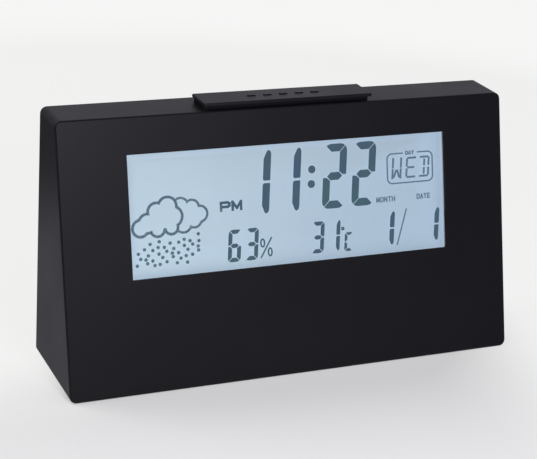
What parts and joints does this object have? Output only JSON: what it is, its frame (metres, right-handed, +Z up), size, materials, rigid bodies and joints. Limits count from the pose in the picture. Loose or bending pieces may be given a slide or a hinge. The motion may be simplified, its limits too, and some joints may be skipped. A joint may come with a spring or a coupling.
{
  "type": "digital desk clock",
  "caption": "Wedge-shaped black desk clock with a wide lit display of time, date, weather, humidity and temperature, a long snooze bar on top, and rear keys.",
  "frame": {"origin": "middle of the base, on the surface that the clock stands on, halfway between the ends and halfway between the base's front edge and the case's back rim", "axes": "+X along the width, to the right as seen from the front; +Y towards the back; +Z up"},
  "size_m": [0.14, 0.0348, 0.078],
  "materials": {
    "case_plastic": "fine spark-eroded texture, satin black",
    "bar_plastic": "fine texture, satin black",
    "key_plastic": "satin dark grey",
    "clear_plastic": "polished clear acrylic",
    "display_glass": "polished thin glass",
    "front_film": "smooth polarizing film",
    "display_back": "lit pale blue film",
    "display_ink": "dark slate display pattern",
    "light_plastic": "polished milky acrylic",
    "white_plastic": "plain white moulding",
    "strip_rubber": "striped conductive rubber",
    "dome_rubber": "matte silicone",
    "board": "green solder mask over glass fibre",
    "epoxy": "glossy black epoxy",
    "part_plastic": "moulded black plastic",
    "chip_ceramic": "fired ceramic",
    "screw_steel": "zinc plated",
    "contact_steel": "nickel plated",
    "buzzer_brass": "rolled brass",
    "buzzer_ceramic": "fired ceramic with a silvered face",
    "cell_sleeve": "printed sleeve over a steel can",
    "red_lead": "soft insulation",
    "pale_lead": "soft insulation"
  },
  "bodies": {
    "case": {"front_case": "case_plastic", "window_lens": "clear_plastic", "front_polarizer": "front_film", "lcd_front_glass": "display_glass", "lcd_segments": "display_ink", "lcd_rear_glass": "display_glass", "rear_polarizer": "display_back", "display_frame": "white_plastic", "light_guide": "light_plastic", "reflector": "white_plastic", "backlight_leds": "light_plastic", "contact_strip": "strip_rubber", "main_board": "board", "chip_cap": "epoxy", "crystal": "contact_steel", "capacitors": "part_plastic", "chip_parts": "chip_ceramic", "board_screws": "screw_steel", "snooze_dome": "dome_rubber", "snooze_board": "board", "snooze_screws": "screw_steel", "back_cover": "case_plastic", "cover_screws": "screw_steel", "key_board": "board", "key_switches": "part_plastic", "key_screws": "screw_steel", "sensor_board": "board", "humidity_sensor": "white_plastic", "thermistor": "chip_ceramic", "sensor_screws": "screw_steel", "buzzer_plate": "buzzer_brass", "buzzer_ceramic": "buzzer_ceramic", "upper_cell": "cell_sleeve", "lower_cell": "cell_sleeve", "plus_contact": "contact_steel", "minus_contact": "contact_steel", "bridge_contact": "contact_steel", "battery_leads": "red_lead", "key_leads": "pale_lead", "snooze_leads": "pale_lead", "buzzer_leads": "red_lead", "sensor_leads": "pale_lead"},
    "snooze": {"snooze_bar": "bar_plastic"},
    "mode": {"mode_key": "key_plastic", "mode_plunger": "part_plastic"},
    "up": {"up_key": "key_plastic", "up_plunger": "part_plastic"},
    "down": {"down_key": "key_plastic", "down_plunger": "part_plastic"},
    "alarm": {"alarm_key": "key_plastic", "alarm_plunger": "part_plastic"},
    "unit": {"unit_key": "key_plastic", "unit_plunger": "part_plastic"},
    "door": {"battery_door": "case_plastic"}
  },
  "joints": [
    {"name": "snooze_press", "type": "slide", "parent": "case", "child": "snooze", "axis": [0, 0, -1], "range_m": [0, 0.001], "stiffness_N_per_m": 1200, "springref_m": -0.0004, "deforming": ["snooze_dome"]},
    {"name": "mode_press", "type": "slide", "parent": "case", "child": "mode", "axis": [0, -1, 0], "range_m": [0, 0.0003], "stiffness_N_per_m": 3000, "springref_m": -0.0002},
    {"name": "up_press", "type": "slide", "parent": "case", "child": "up", "axis": [0, -1, 0], "range_m": [0, 0.0003], "stiffness_N_per_m": 3000, "springref_m": -0.0002},
    {"name": "down_press", "type": "slide", "parent": "case", "child": "down", "axis": [0, -1, 0], "range_m": [0, 0.0003], "stiffness_N_per_m": 3000, "springref_m": -0.0002},
    {"name": "alarm_press", "type": "slide", "parent": "case", "child": "alarm", "axis": [0, -1, 0], "range_m": [0, 0.0003], "stiffness_N_per_m": 3000, "springref_m": -0.0002},
    {"name": "unit_press", "type": "slide", "parent": "case", "child": "unit", "axis": [0, -1, 0], "range_m": [0, 0.0003], "stiffness_N_per_m": 3000, "springref_m": -0.0002},
    {"name": "door_swing", "type": "hinge", "parent": "case", "child": "door", "pos_m": [0, 0.0165, 0.005], "axis": [-1, 0, 0], "range_deg": [0, 60]}
  ]
}
